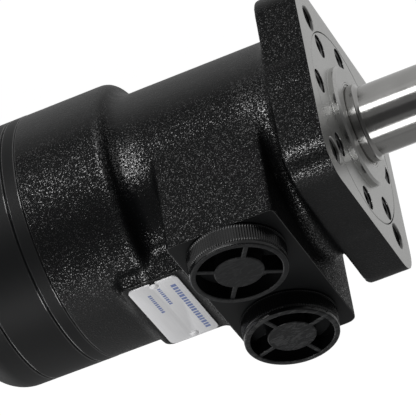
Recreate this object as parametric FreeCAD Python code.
import FreeCAD, Part
import math
import os

# Orbit hydraulic motor with a square mounting flange.
# Frame: the origin is the centre of the pilot on the mounting face, +X runs out along the output
# shaft, +Z points out of the oil ports, and angles about X are counted from +Y towards +Z.
# All sizes are in millimetres.

# Mounting flange
flange_side = 82.8
flange_thickness = 15.5
mounting_circle = 82.55
mounting_hole_radius = 4.25
flange_corner_radius = 12.2
flange_back_radius = 1.0

# Cast body
neck_radius = 39.7
rear_radius = 45.9
rear_face_x = -109.0
shoulder_x = -79.0
shoulder_radius = 4.5
root_radius = 1.7
edge_chamfer = 0.5
flange_root_radius = 1.5

# Port block and nameplate pad
block_front_x = -22.5
block_rear_x = -62.0
block_half_width = 38.7
block_top_z = 50.0
block_near_corner_radius = 1.5
block_far_corner_radius = 4.0
block_top_radius = 0.8
pad_rear_x = -88.0
pad_half_width = 20.5
pad_top_z = 46.2
pad_corner_radius = 3.0
pad_base_z = 30.0

# Oil ports
port_x = -42.7
port_y = 22.9
port_mouth_radius = 11.5
port_mouth_depth = 5.5
port_thread_radius = 9.32
port_thread_length = 11.0
port_passage_radius = 2.5

# Main bore, spool and commutation
bore_radius = 19.0
running_gap = 0.03
seat_play = 0.1
groove_offset = 6.8
groove_half_width = 3.0
body_groove_radius = 22.5
spool_groove_radius = 16.2
slots_per_groove = 6
slot_width = 3.2
slot_depth = 2.4
slot_overlap = 1.2
channel_circle_radius = 25.3
channel_radius = 1.8
channel_entry_radius = 1.5

# Front cover, bearings and seals
cover_radius = 35.6
cover_thickness = 10.0
cover_gap = 0.3
cover_bore_radius = 18.02
spigot_radius = 23.9
spigot_end_x = -20.9
cavity_radius = 24.0
cavity_end_x = -26.0
pilot_radius = 22.2
pilot_height = 2.8
pilot_chamfer = 0.8
dust_recess_radius = 15.8
dust_recess_x = -2.4
inner_wall_x = -4.6
inner_wall_radius = 14.7
screw_circle_radius = 30.7
screw_count = 8
screw_radius = 2.45
screw_head_radius = 4.25
screw_head_height = 5.0
screw_recess = 0.6
screw_length = 14.4
counterbore_radius = 4.4
screw_hole_radius = 2.75
screw_thread_radius = 2.5
screw_socket_flats = 4.0
screw_socket_depth = 2.6
cover_seal_radius = 23.05
cover_seal_section = 0.8
cover_groove_front_x = -13.1
cover_groove_rear_x = -15.5
cover_groove_floor = 22.2
cover_edge_chamfer = 0.3
dust_lip_x = 1.6
lip_running_gap = 0.05
shaft_seal_length = 7.0
seal_wall = 1.0
spring_radius = 16.35
spring_section = 0.45
spring_x = -9.5

# Needle bearing
needle_count = 24
needle_radius = 1.45
needle_front_x = -13.2
needle_rear_x = -19.6
needle_cup_front_x = -12.3
needle_cup_rear_x = -20.5
needle_cup_inner_radius = 17.2
needle_cage_outer_radius = 16.3
needle_cage_inner_radius = 15.1
needle_cage_margin = 0.7
pocket_play = 0.1

# Thrust bearing
thrust_count = 18
thrust_roller_radius = 1.5
thrust_roller_start = 16.2
thrust_roller_length = 5.0
thrust_middle_x = -23.45
thrust_cage_half_width = 0.6
thrust_cage_outer_radius = 22.3
thrust_cage_inner_radius = 15.2
thrust_race_radius = 22.5
thrust_race_thickness = 1.0
thrust_race_front_x = -21.9
thrust_race_clearance = 1.0

# Output shaft
shaft_radius = 12.7
shaft_end_x = 44.0
shaft_end_chamfer = 1.5
journal_radius = 14.2
journal_end_x = 5.5
journal_fillet = 1.5
spool_end_x = -106.0
keyway_width = 6.35
keyway_depth = 3.1
keyway_start_x = 12.0

# Roller gear set
chamber_count = 7
ring_front_x = -114.5
ring_rear_x = -133.0
roller_circle_radius = 25.0
roller_radius = 5.0
eccentricity = 2.0
ring_inner_radius = 24.3
first_roller_angle = 180.0 / chamber_count
rotor_gap = 0.04
rotor_points_per_lobe = 16

# Drive link
spline_bore_radius = 9.6
spline_tip_radius = 9.2
spline_root_radius = 7.9
spline_teeth = 12
spline_length = 13.0
link_shank_radius = 6.8
link_front_x = -67.0
link_bore_front_x = -58.0
link_relief_x = -76.0
link_relief_radius = 12.0
plate_hole_radius = 13.0

# End cover and its bolts
end_cover_rear_x = -153.3
end_cover_rounding = 13.0
end_cover_recess_depth = 3.0
bolt_circle_radius = 32.0
bolt_radius = 3.95
bolt_hole_radius = 4.3
bolt_thread_radius = 4.0
bolt_seat_x = -151.3
bolt_seat_radius = 8.6
bolt_tip_x = -90.0
bolt_hole_end_x = -88.0
bolt_head_across_flats = 13.0
bolt_head_height = 5.3
washer_radius = 7.9
washer_thickness = 1.6

# Static seals between the stacked parts
body_seal_radius = 40.0
body_seal_groove_width = 2.2
body_seal_groove_depth = 1.6
body_seal_section = 0.75
body_seal_inset = 0.8

# Drain port, in the side of the rear barrel
drain_x = -93.0
drain_radius = 6.58
drain_depth = 12.0
drain_seat_radius = 10.5
drain_seat_y = -44.6
drain_plug_flange_radius = 9.3
drain_plug_flange_height = 3.6
drain_washer_thickness = 1.5
drain_passage_radius = 3.0
drain_socket_flats = 6.0
drain_socket_depth = 5.0
drain_thread_length = 10.0
drain_rim_chamfer = 0.6

# Plastic port caps
cap_radius = 16.8
cap_base_radius = 17.2
cap_height = 8.4
cap_rim_inner_radius = 14.1
cap_floor = 1.5
cap_hub_radius = 8.9
cap_hub_drop = 0.5
cap_spoke_width = 1.8
cap_stem_radius = 10.9
cap_stem_depth = 5.2
cap_seat_gap = 0.4
cap_a_spoke_turn = 57.2
cap_b_spoke_turn = 18.0

# Nameplate
plate_length = 37.5
plate_width = 18.5
plate_thickness = 0.5
plate_corner_radius = 2.0
plate_centre_x = -76.0
rivet_y = 16.8
rivet_x = -75.7
rivet_radius = 1.05
rivet_head_radius = 1.6
rivet_head_height = 0.7
rivet_depth = 5.0

V = FreeCAD.Vector
X_AXIS = V(1, 0, 0)
Y_AXIS = V(0, 1, 0)
Z_AXIS = V(0, 0, 1)
CENTRE = V(0, 0, 0)
EPS = 0.5


def polar(x, radius, angle):
    """Point at a radius and angle about the motor's axis."""
    turn = math.radians(angle)
    return V(x, radius * math.cos(turn), radius * math.sin(turn))


def rod(x_start, x_end, radius, centre_radius=0.0, angle=0.0):
    """Solid cylinder parallel to X."""
    return Part.makeCylinder(radius, x_end - x_start, polar(x_start, centre_radius, angle), X_AXIS)


def tube(x_start, x_end, outer, inner):
    """Ring around the motor's axis."""
    return rod(x_start, x_end, outer).cut(rod(x_start - EPS, x_end + EPS, inner))


def outline_face(steps):
    """Closed face in the plane of X and radius. A step of two numbers is a straight run to (x, r);
    a step of four is an arc through the first point to the second."""
    edges = []
    here = V(steps[0][0], steps[0][1], 0)
    for step in list(steps[1:]) + [steps[0]]:
        end = V(step[-2], step[-1], 0)
        if len(step) == 4:
            edges.append(Part.Arc(here, V(step[0], step[1], 0), end).toShape())
        else:
            edges.append(Part.makeLine(here, end))
        here = end
    return Part.Face(Part.Wire(edges))


def turned(steps):
    """Body of revolution about the motor's axis."""
    return outline_face(steps).revolve(CENTRE, X_AXIS, 360)


def quarter_arc(centre_x, centre_r, radius, middle_angle, end_x, end_r):
    """Arc step whose middle lies at an angle from a centre."""
    turn = math.radians(middle_angle)
    return (centre_x + radius * math.cos(turn), centre_r + radius * math.sin(turn), end_x, end_r)


def rounded_plan(x_low, x_high, y_low, y_high, radii, z):
    """Rectangle in a plane of constant z, with a radius for each corner in turn from (low, low)."""
    corners = [(x_low, y_low, 180), (x_high, y_low, 270), (x_high, y_high, 0), (x_low, y_high, 90)]
    edges = []
    points = []
    for (x, y, start), radius in zip(corners, radii):
        centre = V(x - radius * round(math.cos(math.radians(start + 45)) * 1.5),
                   y - radius * round(math.sin(math.radians(start + 45)) * 1.5), z)
        arc = [centre + V(radius * math.cos(math.radians(start + turn)),
                          radius * math.sin(math.radians(start + turn)), 0) for turn in (0, 45, 90)]
        points.append(arc)
    for index, arc in enumerate(points):
        edges.append(Part.Arc(arc[0], arc[1], arc[2]).toShape())
        edges.append(Part.makeLine(arc[2], points[(index + 1) % 4][0]))
    return Part.Face(Part.Wire(edges))


def hexagon_prism(x_start, x_end, across_flats, centre):
    """Hexagonal prism parallel to X, centred on a point's y and z."""
    corner = across_flats / math.sqrt(3)
    points = []
    for index in range(7):
        turn = math.radians(60 * index)
        points.append(V(x_start, centre.y + corner * math.cos(turn), centre.z + corner * math.sin(turn)))
    return Part.Face(Part.makePolygon(points)).extrude(V(x_end - x_start, 0, 0))


def around(make, count, first_angle=0.0):
    """List of shapes made at equal steps of angle."""
    return [make(first_angle + 360.0 * index / count) for index in range(count)]


def joined(shapes):
    """One solid from several that overlap."""
    return shapes[0].fuse(shapes[1:]).removeSplitter()


def ring_seal(x, radius, section):
    """O-ring around the motor's axis."""
    return Part.makeTorus(radius, section, V(x, 0, 0), X_AXIS)


def face_groove(x_start, x_end):
    """Seal groove cut into one face of a stacked part."""
    half = body_seal_groove_width / 2
    return tube(x_start, x_end, body_seal_radius + half, body_seal_radius - half)


def cast_body():
    """Neck and rear barrel, turned, with the round shoulder between them."""
    shoulder_end = shoulder_x + shoulder_radius
    neck_start = shoulder_end + root_radius
    flange_back = -flange_thickness
    return turned([
        (rear_face_x, 0),
        (rear_face_x, rear_radius - edge_chamfer),
        (rear_face_x + edge_chamfer, rear_radius),
        (shoulder_x, rear_radius),
        quarter_arc(shoulder_x, rear_radius - shoulder_radius, shoulder_radius, 45,
                    shoulder_end, rear_radius - shoulder_radius),
        quarter_arc(neck_start, neck_radius + root_radius, root_radius, 225, neck_start, neck_radius),
        (flange_back - flange_root_radius, neck_radius),
        quarter_arc(flange_back - flange_root_radius, neck_radius + flange_root_radius,
                    flange_root_radius, 315, flange_back, neck_radius + flange_root_radius),
        (-cover_thickness, neck_radius + flange_root_radius),
        (-cover_thickness, 0),
    ])


def flange_plate():
    """Square flange with rounded corners and a softened back edge."""
    half = flange_side / 2
    plan = rounded_plan(-half, half, -half, half, [flange_corner_radius] * 4, 0)
    plate = plan.extrude(V(0, 0, -flange_thickness))
    back_edges = [edge for edge in plate.Edges
                  if abs(edge.BoundBox.ZMax + flange_thickness) < 0.01]
    plate = plate.makeFillet(flange_back_radius, back_edges)
    plate.rotate(CENTRE, Y_AXIS, 90)
    return plate


def port_block():
    """Raised block that carries both oil ports."""
    radii = [block_far_corner_radius] * 2 + [block_near_corner_radius] * 2
    plan = rounded_plan(block_rear_x, block_front_x, -block_half_width, block_half_width, radii, 0)
    block = plan.extrude(V(0, 0, block_top_z))
    top_edges = [edge for edge in block.Edges if abs(edge.BoundBox.ZMin - block_top_z) < 0.01]
    return block.makeFillet(block_top_radius, top_edges)


def nameplate_pad():
    """Flat pad for the nameplate, between the rear barrel and the port block."""
    buried_radius = 0.5
    radii = [pad_corner_radius, buried_radius, buried_radius, pad_corner_radius]
    plan = rounded_plan(pad_rear_x, block_rear_x + 2, -pad_half_width, pad_half_width, radii, pad_base_z)
    pad = plan.extrude(V(0, 0, pad_top_z - pad_base_z))
    top_edges = [edge for edge in pad.Edges if abs(edge.BoundBox.ZMin - pad_top_z) < 0.01]
    return pad.makeFillet(block_top_radius, top_edges)


def port_cuts(side):
    """One oil port: mouth, threaded wall, and the passage down to its groove in the bore."""
    y = side * port_y
    thread_top = block_top_z - port_mouth_depth
    thread_bottom = thread_top - port_thread_length
    mouth = Part.makeCylinder(port_mouth_radius, port_mouth_depth + EPS, V(port_x, y, thread_top), Z_AXIS)
    thread = Part.makeCylinder(port_thread_radius, port_thread_length + EPS,
                               V(port_x, y, thread_bottom), Z_AXIS)
    groove_x = port_x + side * groove_offset
    inward = V(0, y, thread_bottom).normalize()
    reach = math.hypot(y, thread_bottom) + EPS - bore_radius
    passage = Part.makeCylinder(port_passage_radius, reach,
                                V(groove_x, 0, 0) + inward * bore_radius, inward)
    groove = tube(groove_x - groove_half_width, groove_x + groove_half_width,
                  body_groove_radius, bore_radius - EPS)
    return [mouth, thread, passage, groove]


def channel_cuts():
    """Seven channels from the spool to the chambers of the gear set."""
    def channel(angle):
        return rod(rear_face_x - EPS, port_x, channel_radius, channel_circle_radius, angle)

    def entry(angle):
        start = polar(port_x - channel_radius, bore_radius - EPS, angle)
        outward = polar(0, 1, angle)
        return Part.makeCylinder(channel_entry_radius, channel_circle_radius - bore_radius + EPS,
                                 start, outward)

    return around(channel, chamber_count) + around(entry, chamber_count)


def mounting_hole(angle):
    """Tapped hole through the flange."""
    return rod(-flange_thickness - 1, EPS, mounting_hole_radius, mounting_circle / 2, angle)


def drain_cuts():
    """Drain port: flat seat, threaded wall and passage to the main bore."""
    seat = Part.makeCylinder(drain_seat_radius, 8, V(drain_x, drain_seat_y, 0), -Y_AXIS)
    thread = Part.makeCylinder(drain_radius, drain_depth, V(drain_x, drain_seat_y + drain_depth, 0),
                               -Y_AXIS)
    passage = Part.makeCylinder(drain_passage_radius, -drain_seat_y - bore_radius + EPS,
                                V(drain_x, drain_seat_y, 0), Y_AXIS)
    return [seat, thread, passage]


def housing():
    """Cast body with its flange, port block and pad, and every machined bore and hole."""
    body = joined([cast_body(), flange_plate(), port_block(), nameplate_pad()])
    cuts = [
        rod(-cover_thickness, EPS, cover_radius + cover_gap),
        rod(cavity_end_x, -cover_thickness + EPS, cavity_radius),
        rod(rear_face_x - EPS, cavity_end_x + EPS, bore_radius),
        face_groove(rear_face_x - EPS, rear_face_x + body_seal_groove_depth),
    ]
    cuts += port_cuts(1) + port_cuts(-1) + channel_cuts() + drain_cuts()
    cuts += around(mounting_hole, 4, 45)
    cuts += around(lambda angle: rod(-cover_thickness - screw_length + 3, -cover_thickness + EPS,
                                     screw_thread_radius, screw_circle_radius, angle), screw_count)
    cuts += around(lambda angle: rod(rear_face_x - EPS, bolt_hole_end_x, bolt_thread_radius,
                                     bolt_circle_radius, angle), chamber_count)
    for side in (1, -1):
        cuts.append(Part.makeCylinder(rivet_radius, rivet_depth + EPS,
                                      V(rivet_x, side * rivet_y, pad_top_z - rivet_depth), Z_AXIS))
    return body.cut(cuts)


def front_cover():
    """Round cover let flush into the flange, with the pilot, bearing bore and seal seats."""
    cover = turned([
        (spigot_end_x, cover_bore_radius),
        (spigot_end_x, spigot_radius - edge_chamfer),
        (spigot_end_x + edge_chamfer, spigot_radius),
        (cover_groove_rear_x, spigot_radius),
        (cover_groove_rear_x, cover_groove_floor),
        (cover_groove_front_x, cover_groove_floor),
        (cover_groove_front_x, spigot_radius),
        (-cover_thickness, spigot_radius),
        (-cover_thickness, cover_radius),
        (-cover_edge_chamfer, cover_radius),
        (0, cover_radius - cover_edge_chamfer),
        (0, pilot_radius),
        (pilot_height - pilot_chamfer, pilot_radius),
        (pilot_height, pilot_radius - pilot_chamfer),
        (pilot_height, dust_recess_radius),
        (dust_recess_x, dust_recess_radius),
        (dust_recess_x, inner_wall_radius),
        (inner_wall_x, inner_wall_radius),
        (inner_wall_x, cover_bore_radius),
    ])
    seat_x = -screw_recess - screw_head_height
    holes = around(lambda angle: rod(-cover_thickness - EPS, EPS, screw_hole_radius,
                                     screw_circle_radius, angle), screw_count)
    seats = around(lambda angle: rod(seat_x, EPS, counterbore_radius, screw_circle_radius, angle),
                   screw_count)
    return cover.cut(holes + seats)


def cover_screws():
    """Socket-head screws that hold the front cover."""
    seat_x = -screw_recess - screw_head_height

    def screw(angle):
        head = rod(seat_x, -screw_recess, screw_head_radius, screw_circle_radius, angle)
        shank = rod(seat_x - screw_length, seat_x + EPS, screw_radius, screw_circle_radius, angle)
        socket = hexagon_prism(-screw_recess - screw_socket_depth, EPS, screw_socket_flats,
                               polar(0, screw_circle_radius, angle))
        return joined([head, shank]).cut(socket)

    return Part.makeCompound(around(screw, screw_count))


def dust_seal():
    """Scraper ring that closes the front of the cover around the shaft."""
    outer = dust_recess_radius - running_gap
    rear = dust_recess_x + seat_play
    lip = journal_radius + lip_running_gap
    return turned([
        (rear, lip + seal_wall / 2),
        (rear, outer),
        (dust_lip_x - seal_wall, outer),
        (dust_lip_x, lip + seal_wall / 2),
        (dust_lip_x, lip),
    ])


def shaft_seal():
    """Rotary lip seal, open to the rear, with its lip running on the journal."""
    front = inner_wall_x - seat_play
    rear = front - shaft_seal_length
    outer = cover_bore_radius - seat_play / 4
    lip = journal_radius + lip_running_gap
    lip_x = rear + 2.6 * seal_wall
    lip_end_x = rear + 1.4 * seal_wall
    back_of_web = front - 1.2 * seal_wall
    return turned([
        (rear, outer),
        (front, outer),
        (front, lip + seal_wall / 2),
        (back_of_web, lip + seal_wall / 2),
        (lip_x, lip),
        (lip_end_x, lip + seal_wall / 2),
        (lip_end_x, lip + seal_wall),
        (back_of_web, lip + 1.5 * seal_wall),
        (back_of_web, outer - seal_wall),
        (rear, outer - seal_wall),
    ])


def seal_spring():
    """Garter spring that presses the lip onto the journal."""
    return ring_seal(spring_x, spring_radius, spring_section)


def needle_cup():
    """Drawn outer race of the radial needle bearing."""
    return tube(needle_cup_rear_x, needle_cup_front_x, cover_bore_radius - running_gap,
                needle_cup_inner_radius)


def needle_parts():
    """Needles and cage of the radial bearing."""
    pitch = journal_radius + running_gap + needle_radius

    def bars(radius, margin):
        return around(lambda angle: rod(needle_rear_x - margin, needle_front_x + margin, radius, pitch,
                                        angle), needle_count)

    cage = tube(needle_rear_x - needle_cage_margin, needle_front_x + needle_cage_margin,
                needle_cage_outer_radius, needle_cage_inner_radius)
    pockets = bars(needle_radius + pocket_play, pocket_play)
    return Part.makeCompound(bars(needle_radius, 0)), cage.cut(pockets)


def thrust_race(x_start, inner):
    """Flat washer race of the thrust bearing."""
    return tube(x_start, x_start + thrust_race_thickness, thrust_race_radius, inner)


def thrust_parts():
    """Radial rollers and cage of the thrust bearing."""
    def bars(radius, margin):
        def bar(angle):
            start = polar(thrust_middle_x, thrust_roller_start - margin, angle)
            return Part.makeCylinder(radius, thrust_roller_length + 2 * margin, start, polar(0, 1, angle))
        return around(bar, thrust_count)

    cage = tube(thrust_middle_x - thrust_cage_half_width, thrust_middle_x + thrust_cage_half_width,
                thrust_cage_outer_radius, thrust_cage_inner_radius)
    slots = bars(thrust_roller_radius + pocket_play, pocket_play)
    return Part.makeCompound(bars(thrust_roller_radius, 0)), cage.cut(slots)


def keyway():
    """Slot for a parallel key, open at the shaft's end and round at its start."""
    half = keyway_width / 2
    floor_z = keyway_depth - shaft_radius
    start = keyway_start_x + half
    slot = Part.makeBox(shaft_end_x - start + EPS, keyway_width, 5, V(start, -half, floor_z - 5))
    end = Part.makeCylinder(half, 5, V(start, 0, floor_z - 5), Z_AXIS)
    return slot.fuse(end)


def spool_slots(side):
    """Timing slots that lead from one annular groove towards the channel entries."""
    groove_edge = port_x + side * (groove_offset - groove_half_width)
    slot_end = port_x - side * (channel_radius + slot_overlap)
    low = min(groove_edge + side, slot_end)
    high = max(groove_edge + side, slot_end)
    floor = bore_radius - slot_depth
    first = 0.0 if side > 0 else 180.0 / slots_per_groove

    def slot(angle):
        box = Part.makeBox(high - low, 6, slot_width, V(low, floor, -slot_width / 2))
        box.rotate(CENTRE, X_AXIS, angle)
        return box

    return around(slot, slots_per_groove, first)


def output_shaft():
    """Shaft and spool valve in one piece."""
    spool_radius = bore_radius - running_gap
    spool_front_x = cavity_end_x
    fillet_end = journal_end_x + journal_fillet
    shaft = turned([
        (spool_end_x, link_relief_radius),
        (spool_end_x, spool_radius - edge_chamfer),
        (spool_end_x + edge_chamfer, spool_radius),
        (spool_front_x - edge_chamfer, spool_radius),
        (spool_front_x, spool_radius - edge_chamfer),
        (spool_front_x, journal_radius),
        (journal_end_x, journal_radius),
        quarter_arc(fillet_end, shaft_radius + journal_fillet, journal_fillet, 225,
                    fillet_end, shaft_radius),
        (shaft_end_x - shaft_end_chamfer, shaft_radius),
        (shaft_end_x, shaft_radius - shaft_end_chamfer),
        (shaft_end_x, 0),
        (link_bore_front_x, 0),
        (link_bore_front_x, spline_bore_radius),
        (link_relief_x, spline_bore_radius),
        (link_relief_x - 2, link_relief_radius),
    ])
    cuts = [keyway()]
    for side in (1, -1):
        middle = port_x + side * groove_offset
        cuts.append(tube(middle - groove_half_width, middle + groove_half_width,
                         bore_radius + 1, spool_groove_radius))
        cuts += spool_slots(side)
    return shaft.cut(cuts)


def rotor_centre():
    """Centre of the rotor at rest, off the axis towards the first roller."""
    return polar((ring_front_x + ring_rear_x) / 2, eccentricity, first_roller_angle)


def crowned_spline(x_centre):
    """Barrel-shaped spline at one end of the drive link, about the X axis."""
    half = spline_length / 2
    crown = 0.5
    barrel = turned([
        (x_centre - half, 0),
        (x_centre - half, spline_tip_radius - crown),
        (x_centre, spline_tip_radius, x_centre + half, spline_tip_radius - crown),
        (x_centre + half, 0),
    ])
    tooth_gap = math.pi * spline_tip_radius / spline_teeth

    def gap(angle):
        box = Part.makeBox(spline_length + 2, 5, tooth_gap,
                           V(x_centre - half - 1, spline_root_radius, -tooth_gap / 2))
        box.rotate(CENTRE, X_AXIS, angle)
        return box

    return barrel.cut(around(gap, spline_teeth))


def drive_link():
    """Dog-bone link between spool and rotor, tilted so that its rear end follows the rotor."""
    rear_x = rotor_centre().x
    half = spline_length / 2
    front_spline = crowned_spline(link_front_x)
    rear_spline = crowned_spline(rear_x)
    shank = rod(rear_x + half - 1, link_front_x - half + 1, link_shank_radius)
    link = joined([front_spline, shank, rear_spline])
    tilt = math.degrees(math.atan2(eccentricity, link_front_x - rear_x))
    link.rotate(V(link_front_x, 0, 0), Z_AXIS, -tilt)
    link.rotate(CENTRE, X_AXIS, first_roller_angle)
    return link


def spacer_plate():
    """Wear plate with a slot for each chamber."""
    plate = turned([
        (ring_front_x, plate_hole_radius),
        (ring_front_x, rear_radius - edge_chamfer),
        (ring_front_x + edge_chamfer, rear_radius),
        (rear_face_x - edge_chamfer, rear_radius),
        (rear_face_x, rear_radius - edge_chamfer),
        (rear_face_x, plate_hole_radius),
    ])
    inner_radius = channel_circle_radius - 3.3

    def slot(angle):
        ends = [rod(ring_front_x - EPS, rear_face_x + EPS, channel_radius, radius, angle)
                for radius in (inner_radius, channel_circle_radius)]
        box = Part.makeBox(rear_face_x - ring_front_x + 2 * EPS, channel_circle_radius - inner_radius,
                           2 * channel_radius, V(ring_front_x - EPS, inner_radius, -channel_radius))
        box.rotate(CENTRE, X_AXIS, angle)
        return joined(ends + [box])

    cuts = around(slot, chamber_count) + around(through_bolt_hole, chamber_count)
    cuts.append(face_groove(ring_front_x - EPS, ring_front_x + body_seal_groove_depth))
    return plate.cut(cuts)


def through_bolt_hole(angle):
    """Clearance hole for an end-cover bolt, long enough for the whole stack."""
    return rod(end_cover_rear_x - 2, rear_face_x + EPS, bolt_hole_radius, bolt_circle_radius, angle)


def gear_ring():
    """Outer ring of the gear set, with a pocket for each roller."""
    ring = turned([
        (ring_rear_x, ring_inner_radius),
        (ring_rear_x, rear_radius - edge_chamfer),
        (ring_rear_x + edge_chamfer, rear_radius),
        (ring_front_x - edge_chamfer, rear_radius),
        (ring_front_x, rear_radius - edge_chamfer),
        (ring_front_x, ring_inner_radius),
    ])
    pockets = around(lambda angle: rod(ring_rear_x - EPS, ring_front_x + EPS, roller_radius + running_gap,
                                       roller_circle_radius, angle), chamber_count, first_roller_angle)
    return ring.cut(pockets + around(through_bolt_hole, chamber_count))


def roller(angle):
    """Hardened roller that seals one tooth of the ring against the rotor."""
    body = rod(ring_rear_x + running_gap, ring_front_x - running_gap, roller_radius,
               roller_circle_radius, angle)
    ends = [edge for edge in body.Edges if edge.BoundBox.XLength < 0.01]
    return body.makeChamfer(0.3, ends)


def rotor():
    """Six-lobed rotor: the path of the roller centres seen from the rotor, moved in by the roller."""
    lobes = chamber_count - 1
    count = lobes * rotor_points_per_lobe
    inset = roller_radius + rotor_gap
    points = []
    for index in range(count):
        turn = 2 * math.pi * index / count
        fast = chamber_count * turn
        y = roller_circle_radius * math.cos(turn) - eccentricity * math.cos(fast)
        z = roller_circle_radius * math.sin(turn) - eccentricity * math.sin(fast)
        slope_y = -roller_circle_radius * math.sin(turn) + chamber_count * eccentricity * math.sin(fast)
        slope_z = roller_circle_radius * math.cos(turn) - chamber_count * eccentricity * math.cos(fast)
        length = math.hypot(slope_y, slope_z)
        points.append(V(0, y - inset * slope_z / length, z + inset * slope_y / length))
    curve = Part.BSplineCurve()
    curve.interpolate(Points=points, PeriodicFlag=True)
    face = Part.Face(Part.Wire([curve.toShape()]))
    length = ring_front_x - ring_rear_x - 2 * running_gap
    body = face.extrude(V(length, 0, 0)).cut(rod(-EPS, length + EPS, spline_bore_radius))
    body.rotate(CENTRE, X_AXIS, first_roller_angle)
    centre = rotor_centre()
    body.translate(V(ring_rear_x + running_gap, centre.y, centre.z))
    return body


def end_cover():
    """Rear cover with a generously rounded edge and a flat seat for each bolt."""
    rounding_x = end_cover_rear_x + end_cover_rounding
    cover = turned([
        (ring_rear_x, 0),
        (ring_rear_x, rear_radius - edge_chamfer),
        (ring_rear_x - edge_chamfer, rear_radius),
        (rounding_x, rear_radius),
        quarter_arc(rounding_x, rear_radius - end_cover_rounding, end_cover_rounding, 135,
                    end_cover_rear_x, rear_radius - end_cover_rounding),
        (end_cover_rear_x, 0),
    ])
    seats = around(lambda angle: rod(end_cover_rear_x - 2, bolt_seat_x, bolt_seat_radius,
                                     bolt_circle_radius, angle), chamber_count)
    cuts = seats + around(through_bolt_hole, chamber_count)
    cuts.append(rod(ring_rear_x - end_cover_recess_depth, ring_rear_x + EPS, link_relief_radius))
    cuts.append(face_groove(ring_rear_x - body_seal_groove_depth, ring_rear_x + EPS))
    return cover.cut(cuts)


def end_washers():
    """Plain washer under each bolt head."""
    def washer(angle):
        disc = rod(bolt_seat_x - washer_thickness, bolt_seat_x, washer_radius, bolt_circle_radius, angle)
        return disc.cut(through_bolt_hole(angle))

    return Part.makeCompound(around(washer, chamber_count))


def end_bolts():
    """Hexagon-head bolts through the end cover, gear ring and spacer into the body."""
    head_start = bolt_seat_x - washer_thickness
    head_end = head_start - bolt_head_height

    def bolt(angle):
        centre = polar(0, bolt_circle_radius, angle)
        head = hexagon_prism(head_end, head_start, bolt_head_across_flats, centre)
        dome = Part.makeCone(bolt_head_across_flats / 2, bolt_head_across_flats, bolt_head_across_flats / 2,
                             V(head_end, centre.y, centre.z), X_AXIS)
        shank = rod(head_start - EPS, bolt_tip_x, bolt_radius, bolt_circle_radius, angle)
        return joined([head.common(dome), shank])

    return Part.makeCompound(around(bolt, chamber_count))


def drain_plug():
    """Plug with a flange and a hexagon socket."""
    seat_y = drain_seat_y - drain_washer_thickness
    flange_part = Part.makeCylinder(drain_plug_flange_radius, drain_plug_flange_height,
                                    V(drain_x, seat_y, 0), -Y_AXIS)
    rim = [edge for edge in flange_part.Edges
           if abs(edge.BoundBox.YMin - (seat_y - drain_plug_flange_height)) < 0.01
           and edge.BoundBox.YLength < 0.01]
    flange_part = flange_part.makeChamfer(drain_rim_chamfer, rim)
    thread = Part.makeCylinder(drain_radius - running_gap, drain_thread_length,
                               V(drain_x, seat_y - EPS, 0), Y_AXIS)
    socket = hexagon_prism(0, drain_socket_depth, drain_socket_flats, CENTRE)
    socket.rotate(CENTRE, Z_AXIS, 90)
    socket.translate(V(drain_x, seat_y - drain_plug_flange_height, 0))
    return joined([flange_part, thread]).cut(socket)


def drain_washer():
    """Soft sealing washer under the drain plug."""
    ring = Part.makeCylinder(drain_plug_flange_radius, drain_washer_thickness,
                             V(drain_x, drain_seat_y, 0), -Y_AXIS)
    hole = Part.makeCylinder(drain_radius, 4, V(drain_x, drain_seat_y + 1, 0), -Y_AXIS)
    return ring.cut(hole)


def port_cap(side, spoke_turn):
    """Plastic transit cap: stem, floor, flared rim, hub and four spokes."""
    base = block_top_z + cap_seat_gap
    top = base + cap_height
    place = V(port_x, side * port_y, 0)

    def disc(radius, low, high):
        return Part.makeCylinder(radius, high - low, place + V(0, 0, low), Z_AXIS)

    skirt = Part.makeCone(cap_base_radius, cap_radius, cap_height, place + V(0, 0, base), Z_AXIS)
    rim = skirt.cut(disc(cap_rim_inner_radius, base + cap_floor, top + EPS))
    hub = disc(cap_hub_radius, base, top - cap_hub_drop)
    stem = disc(cap_stem_radius, base - cap_stem_depth, base + EPS)

    def spoke(angle):
        reach = cap_rim_inner_radius - cap_hub_radius + 2 * EPS
        bar = Part.makeBox(reach, cap_spoke_width, cap_height - cap_hub_drop - EPS,
                           V(cap_hub_radius - EPS, -cap_spoke_width / 2, base + EPS))
        bar.rotate(CENTRE, Z_AXIS, angle)
        bar.translate(place)
        return bar

    return joined([rim, hub, stem] + around(spoke, 4, spoke_turn))


def nameplate():
    """Thin plate, with a closed rivet hole at one end and an open one at the other."""
    half_width = plate_width / 2
    half_length = plate_length / 2
    plan = rounded_plan(plate_centre_x - half_width, plate_centre_x + half_width, -half_length,
                        half_length, [plate_corner_radius] * 4, pad_top_z)
    plate = plan.extrude(V(0, 0, plate_thickness))
    cuts = []
    for side in (1, -1):
        cuts.append(Part.makeCylinder(rivet_radius + seat_play, plate_thickness + 2 * EPS,
                                      V(rivet_x, side * rivet_y, pad_top_z - EPS), Z_AXIS))
    notch_width = 2 * rivet_radius
    cuts.append(Part.makeBox(notch_width, half_length, plate_thickness + 2 * EPS,
                             V(rivet_x - rivet_radius, rivet_y, pad_top_z - EPS)))
    return plate.cut(cuts)


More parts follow.
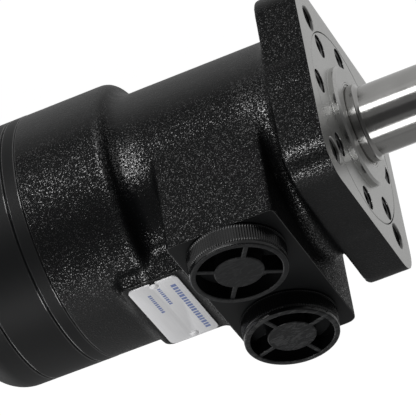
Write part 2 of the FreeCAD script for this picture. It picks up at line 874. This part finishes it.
def rivets():
    """Two round-head drive rivets."""
    pieces = []
    top = pad_top_z + plate_thickness
    dome_radius = (rivet_head_radius ** 2 + rivet_head_height ** 2) / (2 * rivet_head_height)
    for side in (1, -1):
        place = V(rivet_x, side * rivet_y, 0)
        ball = Part.makeSphere(dome_radius, place + V(0, 0, top + rivet_head_height - dome_radius))
        slab = Part.makeCylinder(rivet_head_radius, rivet_head_height + EPS, place + V(0, 0, top), Z_AXIS)
        pin = Part.makeCylinder(rivet_radius - running_gap, rivet_depth,
                                place + V(0, 0, pad_top_z + EPS - rivet_depth), Z_AXIS)
        pieces.append(joined([ball.common(slab), pin]))
    return Part.makeCompound(pieces)


def all_nodes():
    """Every sub-part by node name."""
    needles, needle_cage = needle_parts()
    thrust_rollers, thrust_cage = thrust_parts()
    nodes = {
        "housing": housing(),
        "front_cover": front_cover(),
        "cover_screws": cover_screws(),
        "cover_o_ring": ring_seal((cover_groove_front_x + cover_groove_rear_x) / 2, cover_seal_radius,
                                  cover_seal_section),
        "dust_seal": dust_seal(),
        "shaft_seal": shaft_seal(),
        "seal_spring": seal_spring(),
        "needle_cup": needle_cup(),
        "needle_rollers": needles,
        "needle_cage": needle_cage,
        "thrust_race_front": thrust_race(thrust_race_front_x, journal_radius + thrust_race_clearance),
        "thrust_rollers": thrust_rollers,
        "thrust_cage": thrust_cage,
        "thrust_race_rear": thrust_race(cavity_end_x, journal_radius + running_gap),
        "output_shaft": output_shaft(),
        "drive_link": drive_link(),
        "body_o_ring": ring_seal(rear_face_x + body_seal_inset, body_seal_radius, body_seal_section),
        "spacer_plate": spacer_plate(),
        "spacer_o_ring": ring_seal(ring_front_x + body_seal_inset, body_seal_radius, body_seal_section),
        "gear_ring": gear_ring(),
        "rotor": rotor(),
        "end_cover": end_cover(),
        "end_cover_o_ring": ring_seal(ring_rear_x - body_seal_inset, body_seal_radius, body_seal_section),
        "end_bolts": end_bolts(),
        "end_washers": end_washers(),
        "drain_plug": drain_plug(),
        "drain_washer": drain_washer(),
        "port_cap_a": port_cap(1, cap_a_spoke_turn),
        "port_cap_b": port_cap(-1, cap_b_spoke_turn),
        "nameplate": nameplate(),
        "nameplate_rivets": rivets(),
    }
    for index, shape in enumerate(around(roller, chamber_count, first_roller_angle)):
        nodes["gear_roller_%d" % (index + 1)] = shape
    return nodes


os.makedirs("parts", exist_ok=True)
for name, shape in all_nodes().items():
    if not shape.isValid():
        print("not valid:", name)
    shape.exportStep("parts/%s.step" % name)
